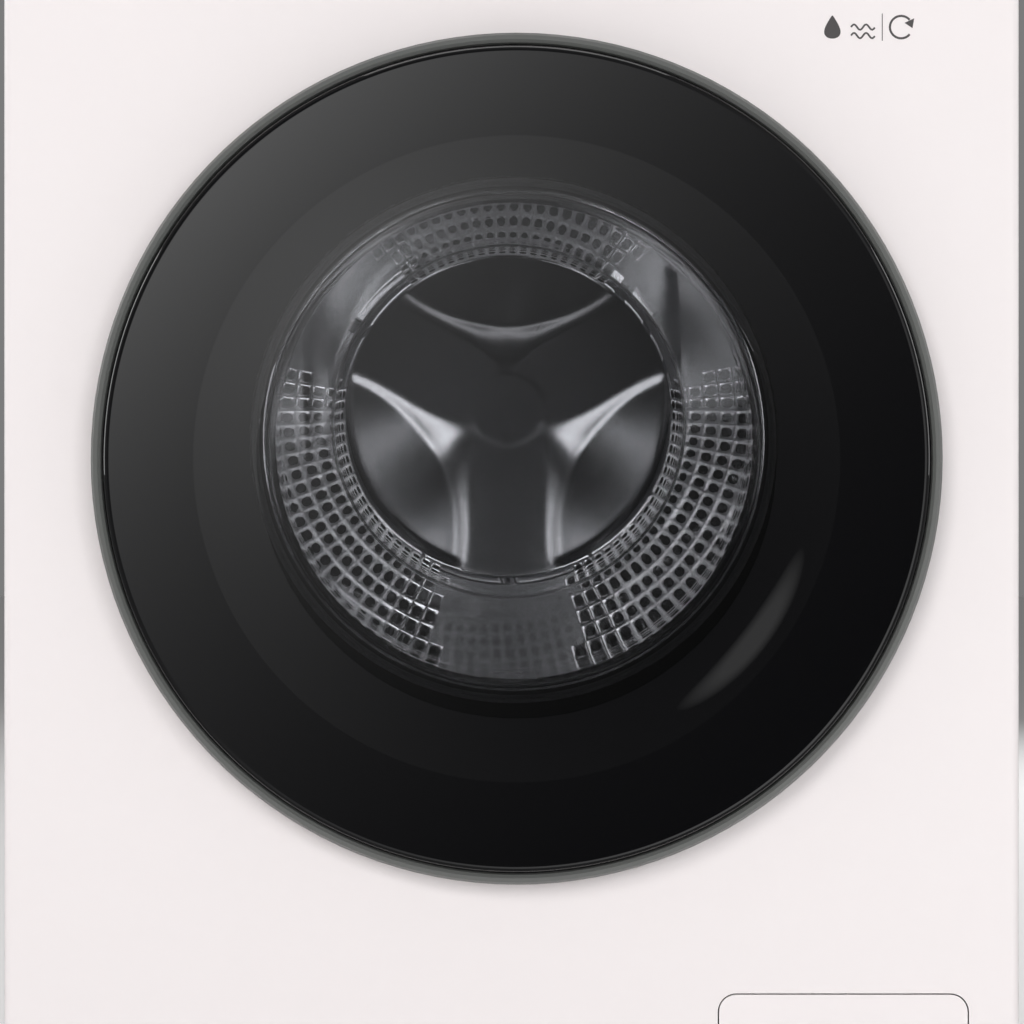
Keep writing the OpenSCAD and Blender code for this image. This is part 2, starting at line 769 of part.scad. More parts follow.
module door_inner_ring() color(c_plastic) {
    difference() {
        union() {
            yrod(ring_c, door_rim_back, -265, 238.8);
            yrod(ring_c, -265.1, door_back, 230);
        }
        yrod(port_c, -269, -261, 148.5);
        slab(-269, -261) translate([203, latch_c[1]]) square([28, 20], center = true);
        arm_notches();
    }
    difference() {
        ytube(port_c, -288.8, -267, 156.5, 150.5);
        slab(-289, -260) translate([-3, 0]) square([6, 40]);
    }
}

module hinge_pin() color(c_steel) translate([hinge_x, hinge_y, 429]) cylinder(r = pin_r, h = 78);

module hinge_bracket() color(c_steel) {
    slab(-260, front_y) translate([-195, 468]) rrect(34, 130, 4);
    for (z = arm_z) difference() {
        union() {
            translate([hinge_x, hinge_y, z]) {
                box([arm_reach - arm_t / 2, -arm_t / 2, 0], [arm_reach + arm_t / 2, -259 - hinge_y, arm_h]);
                box([0, -arm_t / 2, 0], [arm_reach, arm_t / 2, arm_h]);
            }
            translate([hinge_x, hinge_y, z]) cylinder(r = eye_r, h = arm_h);
        }
        translate([hinge_x, hinge_y, z - 1]) cylinder(r = pin_r + run_gap, h = arm_h + 2);
    }
}

module latch_hook() color(c_steel) {
    translate([latch_c[0], -280, 464.5]) cylinder(r = latch_pin_r, h = 27);
    box([latch_c[0] - 4, -284, 470], [latch_c[0] + 4, -268, 486]);
    box([latch_c[0] - 3, -269, 471], [latch_c[0] + 3, -228, 485]);
    box([latch_c[0] + 2, -235, 471], [latch_c[0] + 8, -228, 485]);
}

module door_lock() color(c_black) difference() {
    box([186, skin_y + 0.1, 440], [232, -214, 516]);
    box([190, skin_y - 1, 468], [216, -222, 488]);
}

// The folded rubber seal from the porthole's lip back to the tub's neck
module door_gasket() color(c_rubber) {
    lathe(port_c) polygon([
        [lip_in, -259.5], [146, -261], [166, -261], [166, -240], [161.5, -240], [161.5, -254], [lip_in, -253]
    ]);
    difference() {
        hull() {
            disc(port_c, -242, 166);
            disc(drum_c, neck_y - 1, neck_r + 10);
        }
        hull() {
            disc(port_c, -243, 161.5);
            disc(drum_c, neck_y, neck_r + 4.4);
        }
    }
    ytube(drum_c, neck_y - 0.6, -202, neck_r + 10, neck_r + 4.3);
}

module transit_plugs() color(c_plastic) for (p = plug_at) {
    yrod(p, back_y + 0.1, 303, 18);
    yrod(p, 294, 301, 13.8);
}

module rear_screws() color(c_steel) for (p = cover_screws) {
    yrod(p, back_y + 1.3, 304, 5);
    yrod(p, 290, 302, 2);
}

cabinet_shell();
rear_cover();
base_pan();
top_cover();
front_panel();
control_fascia();
top_braces();
display_window();
control_board();
dispenser_housing();
inlet_valve();
fill_hose();
main_board_case();
pressure_sensor();
drain_pump();
drain_hose();
damper_cylinders();
door_gasket();
hinge_bracket();
door_lock();
cord_gland();
transit_plugs();
rear_screws();
dispenser_bellows();
sump_hose();
suspension_springs();
feet();
foot_locknuts();
tub_rear_shell();
tub_front_shell();
tub_screws();
upper_counterweight();
lower_counterweight();
heater();
stator();
bearings();
shaft_seal();
damper_rods();
drum_shell();
drum_back();
drum_lifters();
drum_spider();
drum_shaft();
rotor();
door_cover();
door_trim_ring();
door_frame();
door_bowl();
door_inner_ring();
hinge_pin();
latch_hook();
drawer_front();
drawer_tray();
siphon_cap();
dial();
power_button();
start_button();
filter_flap();
filter_cap();
pump_impeller();
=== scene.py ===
import json
import math

import bmesh
import bpy
import numpy as np
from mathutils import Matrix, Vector


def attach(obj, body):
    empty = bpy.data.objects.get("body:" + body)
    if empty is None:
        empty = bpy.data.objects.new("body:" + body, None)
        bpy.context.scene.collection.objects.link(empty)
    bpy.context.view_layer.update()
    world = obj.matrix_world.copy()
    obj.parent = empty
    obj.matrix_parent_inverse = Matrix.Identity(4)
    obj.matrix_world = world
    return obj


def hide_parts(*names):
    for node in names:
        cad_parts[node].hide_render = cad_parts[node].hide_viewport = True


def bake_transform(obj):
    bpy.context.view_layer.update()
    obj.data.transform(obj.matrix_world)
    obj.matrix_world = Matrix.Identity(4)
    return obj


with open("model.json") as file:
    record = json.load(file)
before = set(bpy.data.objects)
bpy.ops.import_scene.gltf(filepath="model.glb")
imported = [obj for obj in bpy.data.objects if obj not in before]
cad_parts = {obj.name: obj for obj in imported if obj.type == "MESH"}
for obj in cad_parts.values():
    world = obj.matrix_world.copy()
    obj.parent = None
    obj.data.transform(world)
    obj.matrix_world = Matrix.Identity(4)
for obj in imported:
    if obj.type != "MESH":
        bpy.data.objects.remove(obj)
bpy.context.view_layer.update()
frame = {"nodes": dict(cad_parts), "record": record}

MM = 0.001

# Axes seen from the front, as (x, z) in millimetres
RING_C = (3.0, 468.0)
PORT_C = (1.5, 478.5)
BOWL_C = (-2.0, 491.0)
DRUM_C = (-3.0, 500.0)
DIAL_C = (0.0, 785.0)
POWER_C = (265.0, 785.0)
START_C = (226.0, 785.0)
DISPLAY_C = (128.0, 785.0)
INLETS = ((-232, 785), (-188, 785))
DRAIN_C = (250, 770)
ARMS = (270, 30, 150)  # degrees round the drum's axis

# Depths, along y, in millimetres
PANEL_Y = -257.0
CREST_Y = -310.0


# ---- Camera ----

def add_camera():
    data = bpy.data.cameras.new("camera")
    data.sensor_width = 36
    data.lens = 131.3
    data.shift_y = -0.07
    data.clip_end = 60
    camera = bpy.data.objects.new("camera", data)
    camera.location = (0.0003, -2.457, 0.4786)
    camera.rotation_euler = (math.radians(90), 0, 0)
    bpy.context.scene.collection.objects.link(camera)
    bpy.context.scene.camera = camera


add_camera()


# ---- Materials ----

class Shader:
    """One material: a Principled shader with procedural colour, roughness and bump."""

    def __init__(self, name, color, rough, metal=0.0, **constants):
        self.material = bpy.data.materials.new(name)
        self.material.use_nodes = True
        self.tree = self.material.node_tree
        self.bsdf = self.tree.nodes["Principled BSDF"]
        self.color = color
        self.set("Base Color", (*color, 1))
        self.set("Roughness", rough)
        self.set("Metallic", metal)
        for key, value in constants.items():
            self.set(key.replace("_", " "), value)
        coord = self.node("ShaderNodeTexCoord")
        self.where = coord.outputs["Object"]
        self.normal = None

    def set(self, socket, value):
        self.bsdf.inputs[socket].default_value = value

    def node(self, kind, **values):
        made = self.tree.nodes.new(kind)
        for key, value in values.items():
            setattr(made, key, value)
        return made

    def link(self, out, into):
        self.tree.links.new(out, into)

    def math(self, operation, a, b=None):
        made = self.node("ShaderNodeMath", operation=operation)
        for socket, value in zip(made.inputs, (a, b)):
            if isinstance(value, (int, float)):
                socket.default_value = value
            elif value is not None:
                self.link(value, socket)
        return made.outputs[0]

    def stretched(self, scale):
        """Object coordinates scaled by axis, for grain that runs one way."""
        mapping = self.node("ShaderNodeMapping")
        mapping.inputs["Scale"].default_value = scale
        self.link(self.where, mapping.inputs["Vector"])
        return mapping.outputs["Vector"]

    def polar(self, centre, radial, around, along):
        """(radius, angle, depth) about the Y line through centre, each with its own scale."""
        parts = self.node("ShaderNodeSeparateXYZ")
        self.link(self.where, parts.inputs[0])
        x = self.math("SUBTRACT", parts.outputs["X"], centre[0] * MM)
        z = self.math("SUBTRACT", parts.outputs["Z"], centre[1] * MM)
        square = self.math("ADD", self.math("MULTIPLY", x, x), self.math("MULTIPLY", z, z))
        radius = self.math("SQRT", square)
        angle = self.math("ARCTAN2", z, x)
        joined = self.node("ShaderNodeCombineXYZ")
        self.link(self.math("MULTIPLY", radius, radial), joined.inputs[0])
        self.link(self.math("MULTIPLY", angle, around), joined.inputs[1])
        self.link(self.math("MULTIPLY", parts.outputs["Y"], along), joined.inputs[2])
        return joined.outputs[0]

    def noise(self, scale, detail=4.0, vector=None, roughness=0.55):
        made = self.node("ShaderNodeTexNoise")
        made.inputs["Scale"].default_value = scale
        made.inputs["Detail"].default_value = detail
        made.inputs["Roughness"].default_value = roughness
        self.link(vector if vector is not None else self.where, made.inputs["Vector"])
        return made.outputs["Fac"]

    def ranged(self, value, low, high, start=0.3, end=0.7):
        made = self.node("ShaderNodeMapRange")
        self.link(value, made.inputs["Value"])
        for socket, number in zip(("From Min", "From Max", "To Min", "To Max"), (start, end, low, high)):
            made.inputs[socket].default_value = number
        return made.outputs["Result"]

    def tone(self, value, dark, light=1.0):
        """Base colour that varies between two shades of the material's colour."""
        mix = self.node("ShaderNodeMix", data_type="RGBA")
        mix.inputs["A"].default_value = (*[min(1.0, c * dark) for c in self.color], 1)
        mix.inputs["B"].default_value = (*[min(1.0, c * light) for c in self.color], 1)
        self.link(value, mix.inputs["Factor"])
        self.link(mix.outputs["Result"], self.bsdf.inputs["Base Color"])

    def gloss(self, value, low, high):
        self.link(self.ranged(value, low, high), self.bsdf.inputs["Roughness"])

    def bump(self, value, strength, distance):
        made = self.node("ShaderNodeBump")
        made.inputs["Strength"].default_value = strength
        made.inputs["Distance"].default_value = distance
        self.link(value, made.inputs["Height"])
        if self.normal is not None:
            self.link(self.normal, made.inputs["Normal"])
        self.normal = made.outputs["Normal"]
        self.link(self.normal, self.bsdf.inputs["Normal"])


def painted(name, color, rough):
    s = Shader(name, color, rough, Coat_Weight=0.12, Coat_Roughness=0.2)
    s.tone(s.noise(3.0, 2.0), 0.985, 1.01)
    s.gloss(s.noise(40, 3.0), rough - 0.05, rough + 0.05)
    s.bump(s.noise(900, 2.0), 0.25, 0.00002)
    return s.material


def moulded(name, color, rough, grain=2600, depth=0.00003, dark=0.93, blotch=1.0):
    """Moulded plastic or rubber: a fine grain, and patches of gloss that blotch makes weaker or stronger."""
    s = Shader(name, color, rough)
    s.tone(s.noise(25, 4.0), dark, 1.03)
    s.gloss(s.noise(120, 3.0), rough - 0.06 * blotch, rough + 0.08 * blotch)
    s.bump(s.noise(grain, 2.0), 0.35, depth)
    return s.material


def printed(name, color):
    """Ink or paint seen through glass, which has no shine of its own."""
    s = Shader(name, color, 0.9, Specular_IOR_Level=0.0)
    s.tone(s.noise(30, 3.0), 0.95, 1.05)
    return s.material


def brushed(name, color, rough, scale=(40, 40, 1800), dark=0.85):
    s = Shader(name, color, rough, 1.0)
    lines = s.noise(1.0, 5.0, s.stretched(scale))
    s.tone(lines, dark, 1.05)
    s.gloss(lines, rough - 0.07, rough + 0.1)
    s.bump(lines, 0.2, 0.00002)
    return s.material


def drum_steel():
    """Drawn steel: smooth in the pressed centre and along the arms, rougher where it is punched. Its colour
    is darkened in the pressed centre as painted shade and lightened on the punched skirt as painted sheen.
    """
    pressed_to, punched_from = 0.113, 0.119
    s = Shader("stainless", (0.60, 0.605, 0.63), 0.2, 1.0)
    lines = s.noise(1.0, 3.0, s.polar(DRUM_C, 1500, 2.0, 60))
    parts = s.node("ShaderNodeSeparateXYZ")
    s.link(s.polar(DRUM_C, 1.0, 3.0, 0.0), parts.inputs[0])
    away = s.ranged(parts.outputs["X"], 0.0, 1.0, pressed_to, punched_from)
    # Painted shade and sheen: one steel, with its base colour dark in the pressed centre and light on the
    # punched skirt
    s.tone(s.math("ADD", away, s.ranged(s.noise(9, 2.0), -0.04, 0.04)), 0.42, 1.12)
    between_arms = s.math("MULTIPLY", s.math("SINE", parts.outputs["Y"]), -1.0)
    punched = s.math("MULTIPLY", away, s.ranged(between_arms, 0.0, 1.0, -0.1, 0.25))
    rough = s.ranged(punched, 0.24, 0.5, 0.0, 1.0)
    s.link(s.math("ADD", rough, s.ranged(lines, -0.02, 0.03)), s.bsdf.inputs["Roughness"])
    s.bump(lines, 0.05, 0.00001)
    return s.material


def tinted_glass():
    s = Shader("tinted_glass", (0.36, 0.36, 0.37), 0.0, IOR=1.5, Transmission_Weight=1.0)
    s.tone(s.noise(4.0, 3.0), 0.97, 1.02)
    return s.material


def border_glass():
    """The cover glass where its back is printed black: the same polished face over an opaque ground."""
    s = Shader("border_glass", (0.0025, 0.0025, 0.003), 0.0, IOR=1.56)
    s.tone(s.noise(4.0, 3.0), 0.9, 1.1)
    return s.material


def clear_glass():
    s = Shader("clear_glass", (0.97, 0.975, 0.975), 0.0, IOR=1.22, Transmission_Weight=1.0)
    s.tone(s.noise(8.0, 3.0), 0.98, 1.0)
    s.gloss(s.noise(20, 4.0), 0.0, 0.004)
    s.bump(s.noise(1.0, 2.0, s.polar(PORT_C, 50, 1.2, 30)), 0.1, 0.0004)
    return s.material


def zinc():
    s = Shader("zinc_sheet", (0.55, 0.57, 0.59), 0.42, 0.85)
    cells = s.node("ShaderNodeTexVoronoi")
    cells.inputs["Scale"].default_value = 90
    s.link(s.where, cells.inputs["Vector"])
    grey = s.node("ShaderNodeRGBToBW")
    s.link(cells.outputs["Color"], grey.inputs[0])
    s.tone(grey.outputs[0], 0.82, 1.12)
    s.gloss(grey.outputs[0], 0.34, 0.52)
    s.bump(s.noise(500, 3.0), 0.15, 0.00003)
    return s.material


def cast(name, color, rough, metal, grain=600, depth=0.0002):
    """Sand-cast metal with a coarse skin."""
    s = Shader(name, color, rough, metal)
    s.tone(s.noise(60, 5.0), 0.75, 1.15)
    s.gloss(s.noise(90, 4.0), rough - 0.08, rough + 0.1)
    s.bump(s.noise(grain, 5.0, roughness=0.65), 0.5, depth)
    return s.material


def windings():
    s = Shader("winding_copper", (0.6, 0.28, 0.12), 0.35, 1.0)
    lines = s.noise(1.0, 2.0, s.stretched((60, 1400, 60)))
    s.tone(lines, 0.6, 1.15)
    s.bump(lines, 0.6, 0.0002)
    return s.material


def board():
    s = Shader("board_green", (0.02, 0.14, 0.07), 0.4, Coat_Weight=0.5)
    tracks = s.node("ShaderNodeTexBrick")
    tracks.inputs["Scale"].default_value = 160
    s.link(s.where, tracks.inputs["Vector"])
    s.tone(tracks.outputs["Fac"], 1.0, 1.9)
    s.bump(tracks.outputs["Fac"], 0.2, 0.00005)
    return s.material


WHITE = (0.895, 0.85, 0.85)
MATERIALS = {
    "white_paint": painted("white_paint", WHITE, 0.42),
    "white_plastic": moulded("white_plastic", WHITE, 0.38, 1800, 0.00002, 0.985),
    "tinted_glass": tinted_glass(),
    "clear_glass": clear_glass(),
    "black_plastic": moulded("black_plastic", (0.012, 0.012, 0.013), 0.4),
    "trim_grey": moulded("trim_grey", (0.125, 0.13, 0.125), 0.34, 2600, 0.000003, 0.97, blotch=0.15),
    "display_glass": moulded("display_glass", (0.006, 0.006, 0.008), 0.12, 300, 0.00001),
    "button_grey": moulded("button_grey", (0.42, 0.43, 0.44), 0.35),
    "grey_plastic": moulded("grey_plastic", (0.52, 0.53, 0.54), 0.5, 900, 0.00006),
    "blue_plastic": moulded("blue_plastic", (0.05, 0.16, 0.42), 0.35),
    "board_green": board(),
    "zinc_sheet": zinc(),
    "stainless": drum_steel(),
    "bearing_steel": brushed("bearing_steel", (0.62, 0.62, 0.64), 0.2),
    "spring_steel": brushed("spring_steel", (0.36, 0.37, 0.38), 0.32, (200, 200, 200), 0.7),
    "cast_aluminium": cast("cast_aluminium", (0.5, 0.51, 0.53), 0.45, 0.9),
    "cast_iron": cast("cast_iron", (0.09, 0.09, 0.095), 0.75, 0.1, 400, 0.0004),
    "winding_copper": windings(),
    "seal_rubber": moulded("seal_rubber", (0.13, 0.135, 0.14), 0.55, 1500, 0.00005),
    "black_rubber": moulded("black_rubber", (0.018, 0.018, 0.02), 0.6, 1200, 0.00006),
}


# ---- Mesh helpers ----

def new_piece(name, verts, faces, slot, body=None, nodes=(), sharp=35, solid=0.0):
    """Makes a piece from a mesh in millimetres, with its finish, its body and the nodes it stands for."""
    mesh = bpy.data.meshes.new(name)
    mesh.from_pydata([tuple(c * MM for c in v) for v in verts], [], faces)
    shaped = bmesh.new()
    shaped.from_mesh(mesh)
    bmesh.ops.remove_doubles(shaped, verts=shaped.verts, dist=1e-6)
    bmesh.ops.recalc_face_normals(shaped, faces=shaped.faces)
    shaped.to_mesh(mesh)
    shaped.free()
    mesh.shade_smooth()
    mesh.set_sharp_from_angle(angle=math.radians(sharp))
    piece = bpy.data.objects.new(name, mesh)
    bpy.context.scene.collection.objects.link(piece)
    mesh.materials.append(MATERIALS[slot])
    if solid:
        thick = piece.modifiers.new("thickness", "SOLIDIFY")
        thick.thickness = solid * MM
        thick.offset = 0
    if nodes:
        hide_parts(*nodes)
    if body:
        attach(piece, body)
    return piece


def turned(stations, segments, closed=True):
    """Circles (x, z, radius, y) in millimetres, joined in order into one skin."""
    verts, rings, faces = [], [], []
    for x, z, r, y in stations:
        if r < 1e-6:
            rings.append([len(verts)] * segments)
            verts.append((x, y, z))
            continue
        rings.append(range(len(verts), len(verts) + segments))
        for i in range(segments):
            a = 2 * math.pi * i / segments
            verts.append((x + r * math.cos(a), y, z + r * math.sin(a)))
    nexts = rings[1:] + rings[:1] if closed else rings[1:]
    for low, high in zip(rings, nexts):
        for i in range(segments):
            j = (i + 1) % segments
            face = list(dict.fromkeys((low[i], low[j], high[j], high[i])))
            if len(face) > 2:
                faces.append(face)
    return verts, faces


def lathe(profile, centre, segments, closed=True):
    """A profile of (radius, y) turned about the Y line through centre."""
    return turned([(centre[0], centre[1], r, y) for r, y in profile], segments, closed)


def smooth_route(points, steps=8):
    """Points on one smooth curve through a route."""
    p = [np.array(q, float) for q in points]
    p = [2 * p[0] - p[1]] + p + [2 * p[-1] - p[-2]]
    out = []
    for i in range(1, len(p) - 2):
        for k in range(steps):
            t = k / steps
            out.append(0.5 * (2 * p[i] + (p[i + 1] - p[i - 1]) * t
                              + (2 * p[i - 1] - 5 * p[i] + 4 * p[i + 1] - p[i + 2]) * t * t
                              + (3 * p[i] - p[i - 1] - 3 * p[i + 1] + p[i + 2]) * t ** 3))
    return out + [p[-2]]


def tube(path, radius, sides=20):
    """A closed tube along a path; radius is a number or a function of the share of the way."""
    path = [np.array(q, float) for q in path]
    verts, faces = [], []
    side = None
    for i, q in enumerate(path):
        ahead = path[min(i + 1, len(path) - 1)] - path[max(i - 1, 0)]
        ahead /= np.linalg.norm(ahead)
        if side is None:
            side = np.cross(ahead, (0.31, 0.17, 0.93))
        side = side - ahead * side.dot(ahead)
        side /= np.linalg.norm(side)
        up = np.cross(ahead, side)
        r = radius(i / (len(path) - 1)) if callable(radius) else radius
        for k in range(sides):
            a = 2 * math.pi * k / sides
            verts.append(tuple(q + r * (math.cos(a) * side + math.sin(a) * up)))
    for i in range(len(path) - 1):
        for k in range(sides):
            n = (k + 1) % sides
            faces.append((i * sides + k, i * sides + n, (i + 1) * sides + n, (i + 1) * sides + k))
    faces.append(tuple(range(sides)))
    faces.append(tuple(range((len(path) - 1) * sides, len(path) * sides)))
    return verts, faces


def joined(*meshes):
    verts, faces = [], []
    for v, f in meshes:
        base = len(verts)
        verts += list(v)
        faces += [tuple(i + base for i in face) for face in f]
    return verts, faces


def plate(outline, y0, y1):
    """An outline of (x, z) points as a solid between two depths."""
    n = len(outline)
    verts = [(x, y0, z) for x, z in outline] + [(x, y1, z) for x, z in outline]
    faces = [tuple(range(n)), tuple(range(n, 2 * n))]
    faces += [(i, (i + 1) % n, n + (i + 1) % n, n + i) for i in range(n)]
    return verts, faces


def band(points, width, y0, y1):
    """A flat line of some width through (x, z) points, as a thin solid."""
    left, right = [], []
    for i, (x, z) in enumerate(points):
        ax, az = points[max(i - 1, 0)]
        bx, bz = points[min(i + 1, len(points) - 1)]
        d = math.hypot(bx - ax, bz - az)
        nx, nz = -(bz - az) / d * width / 2, (bx - ax) / d * width / 2
        left.append((x + nx, z + nz))
        right.append((x - nx, z - nz))
    return plate(left + right[::-1], y0, y1)


def arc(centre, r, a0, a1, steps=24):
    angles = [math.radians(a0 + (a1 - a0) * i / steps) for i in range(steps + 1)]
    return [(centre[0] + r * math.cos(a), centre[1] + r * math.sin(a)) for a in angles]


def share(value, start, end):
    """How far value is on the way from start to end, kept between 0 and 1."""
    return min(1.0, max(0.0, (value - start) / (end - start)))


def between(start, end, t):
    """The point (x, z) at share t of the way between two axes."""
    return [start[i] + t * (end[i] - start[i]) for i in (0, 1)]


def ease(t):
    """A smooth step from 0 to 1."""
    t = min(1.0, max(0.0, t))
    return t * t * (3 - 2 * t)


# ---- Carried-over CAD nodes ----

def soften(name, width):
    """Rounded edges for a CAD node, as modifiers."""
    node = frame["nodes"][name]
    weld = node.modifiers.new("weld", "WELD")
    weld.merge_threshold = 1e-5
    bevel = node.modifiers.new("edges", "BEVEL")
    bevel.width = width * MM
    bevel.segments = 2
    bevel.limit_method = "ANGLE"
    bevel.angle_limit = math.radians(40)
    bevel.use_clamp_overlap = True


def dress_nodes():
    """Every CAD node takes the finish of its slot in the record."""
    slots = {entry["node"]: entry["material_slot"] for entry in frame["record"]["subparts"]}
    for name, node in frame["nodes"].items():
        node.data.materials.clear()
        node.data.materials.append(MATERIALS[slots[name]])


dress_nodes()
BORDER_PRINT = border_glass()
FRAME_PRINT = printed("black_print", (0.008, 0.008, 0.009))
# Painted shade: the tub shells take a near-black plastic in place of their slot's finish, so the drum's
# holes look into shade
SHADED_TUB_PLASTIC = moulded("tub_plastic_painted_shade", (0.05, 0.05, 0.052), 0.6, 900, 0.00006)
INK = moulded("print_ink", (0.085, 0.08, 0.08), 0.5)
frame["nodes"]["door_frame"].data.materials[0] = FRAME_PRINT
frame["nodes"]["tub_front_shell"].data.materials[0] = SHADED_TUB_PLASTIC
frame["nodes"]["tub_rear_shell"].data.materials[0] = SHADED_TUB_PLASTIC
EDGE_WIDTHS = {
    "top_cover": 2.5, "control_fascia": 0.6, "drawer_front": 0.8, "display_window": 0.5,
    "power_button": 0.5, "start_button": 0.5, "filter_flap": 0.5, "drum_lifters": 3.0, "feet": 1.0,
    "filter_cap": 0.6, "upper_counterweight": 3.0, "lower_counterweight": 3.0, "cord_gland": 0.6,
    "hinge_bracket": 0.8, "latch_hook": 0.4, "drum_spider": 2.0, "tub_front_shell": 0.8,
    "tub_rear_shell": 0.8, "transit_plugs": 0.5, "rear_screws": 0.4, "inlet_valve": 0.5,
    "drawer_tray": 0.5, "siphon_cap": 0.6, "door_lock": 0.5, "main_board_case": 0.8,
    "dispenser_housing": 0.8, "damper_cylinders": 0.8, "drain_pump": 0.8,
}
for node_name, edge_width in EDGE_WIDTHS.items():
    soften(node_name, edge_width)


# ---- Door ----

WINDOW_R = 152.0
COVER_R = 238
RIM_R = 3
GLASS_T = 4
DISH_DEPTH = 8.0
DISH_BEND = 0.08  # how much the dish's slope eases off towards the crest
DISH_IN, DISH_OUT = 150.0, 186.0
BOWL_MOUTH_Y, BOWL_BEND_Y, BOWL_END_Y = -290, -156, -128
BOWL_BEND = 0.8  # share of the bowl's lean that is reached at the bend


def cover_face(r):
    """Depth of the cover glass's face at a radius: flat centre, dish, flat crest."""
    t = share(r, DISH_IN, DISH_OUT)
    return CREST_Y + DISH_DEPTH * (1 - t * (1 + DISH_BEND - DISH_BEND * t))


def door_cover():
    """The tinted glass over the whole door, printed black outside the window."""
    floor_y = CREST_Y + DISH_DEPTH
    radii = [DISH_IN + 0.7 * i for i in range(21)] + [DISH_OUT - 2 * (10 - i) for i in range(11)]
    rim = []
    for degrees in range(0, 89, 8):
        a = math.radians(degrees)
        rim.append((COVER_R - RIM_R + RIM_R * math.sin(a), CREST_Y + RIM_R - RIM_R * math.cos(a)))
    front = [(0, floor_y), (75, floor_y)] + [(r, cover_face(r)) for r in radii]
    front += [(r, CREST_Y) for r in (200, 218, 230, 234.5)] + rim + [(COVER_R, floor_y)]
    back = [(229, CREST_Y + GLASS_T), (222, CREST_Y + GLASS_T)]
    back += [(r, cover_face(r) + GLASS_T) for r in reversed(radii)]
    back += [(75, floor_y + GLASS_T), (0, floor_y + GLASS_T)]
    verts, faces = lathe(front + back, RING_C, 256, closed=False)
    cover = new_piece("cover_glass", verts, faces, "tinted_glass", "door", ["door_cover"], sharp=9)
    cover.data.materials.append(BORDER_PRINT)
    for face in cover.data.polygons:
        x, z = face.center.x / MM - RING_C[0], face.center.z / MM - RING_C[1]
        from_port = math.hypot(x + RING_C[0] - PORT_C[0], z + RING_C[1] - PORT_C[1])
        if math.hypot(x, z) > DISH_IN + 0.1 and from_port > WINDOW_R + 0.4:
            face.material_index = 1


def bowl_centre(y):
    """The bowl's axis leans from the port's centre to its own, slowly along the wall and fast at its end."""
    if y < BOWL_BEND_Y:
        t = BOWL_BEND * share(y, BOWL_MOUTH_Y, BOWL_BEND_Y)
    else:
        t = BOWL_BEND + (1 - BOWL_BEND) * share(y, BOWL_BEND_Y, BOWL_END_Y)
    return between(PORT_C, BOWL_C, t)


def bowl_outside():
    """The bowl's outer skin as (radius, y): a straight tapering wall, a rounded shoulder, a flat end."""
    mouth, shoulder, corner = 145.5, 111.0, 101.0
    wall_start, wall_end, end_y = -286, -131.0, -119.5
    wall = []
    for i in range(30):
        wall.append((mouth + (shoulder - mouth) * i / 29, wall_start + (wall_end - wall_start) * i / 29))
    turn = []
    for i in range(1, 21):
        a = math.radians(90 * i / 20)
        r = corner + (shoulder - corner) * math.cos(a)
        turn.append((r, wall_end + (end_y - wall_end) * math.sin(a)))
    return wall + turn + [(70, end_y), (40, end_y), (0, end_y)]


def inset(profile, distance):
    """A profile moved sideways by a distance, so that two skins stay parallel."""
    moved = []
    for i, (r, y) in enumerate(profile):
        ra, ya = profile[max(i - 1, 0)]
        rb, yb = profile[min(i + 1, len(profile) - 1)]
        length = math.hypot(rb - ra, yb - ya)
        inner_r = r - distance * (yb - ya) / length
        moved.append((max(0.0, inner_r), y + distance * (rb - ra) / length))
    return moved


def door_bowl():
    """The glass bowl: a flange, a tapering wall with pressed rings at its mouth, and a flat end."""
    wall_t, ring_height, rings_end_y = 2.6, 0.3, -262
    outside = bowl_outside()
    inside = []
    for r, y in reversed(inset(outside, wall_t)):
        ripple = ring_height * math.sin((y - BOWL_MOUTH_Y) * 0.55)
        inside.append((r + ripple * ease((rings_end_y - y) / 10), y))
    flange = [(157, -294.6), (157, -289), (148.5, -289), (147, -287.5)]
    stations = flange + outside + inside + [(142.9, -293.5), (144, -294.6)]
    verts, faces = turned([(*bowl_centre(y), r, y) for r, y in stations], 192)
    new_piece("bowl_glass", verts, faces, "clear_glass", "door", ["door_bowl"], sharp=50)


door_cover()
door_bowl()


# ---- Drum ----

LOBE_SLOPE = 0.44
LOBE_R = 118
LOBE_DISTANCE = 175
PUNCHED_FROM = 118.0
DRUM_BACK_Y = 170
SKIRT_R = 238.2
WALL_R = 239.2
WALL_Y = (-172, 182)
SHOULDER_POWER = 2.4
CREASE_W = 4.0


def pressed(inside, width):
    """Depth of a lobe: a rounded shoulder as wide as width that ends in a crease, then a floor."""
    if inside <= -width:
        return 0.0
    edge = LOBE_SLOPE * width / SHOULDER_POWER
    if inside <= 0:
        return edge * (1 + inside / width) ** SHOULDER_POWER
    run = min(inside, CREASE_W)
    return edge + LOBE_SLOPE * (run - run * run / (2 * CREASE_W))


def back_height(x, z):
    """Depth of the drum's back at a point from the hub: raised arms and three pressed lobes.

    A lobe's shoulder is widest in its middle and narrows with the angle away from it."""
    narrow, widening, fades_over = 6, 32, 27
    hub_r, hub_height = 28, 0.5
    r = math.hypot(x, z)
    drop = 0.0
    for a in ARMS:
        t = math.radians(a + 180)
        inside = LOBE_R - math.hypot(x - LOBE_DISTANCE * math.cos(t), z - LOBE_DISTANCE * math.sin(t))
        turn = math.atan2(z, x) - t
        turn = math.degrees(math.atan2(math.sin(turn), math.cos(turn)))
        drop += pressed(inside, narrow + widening * math.exp(-(turn / fades_over) ** 2))
    hub = hub_height * ease((hub_r - r) / 5)
    return DRUM_BACK_Y + drop * ease((PUNCHED_FROM - r) / 9) - hub


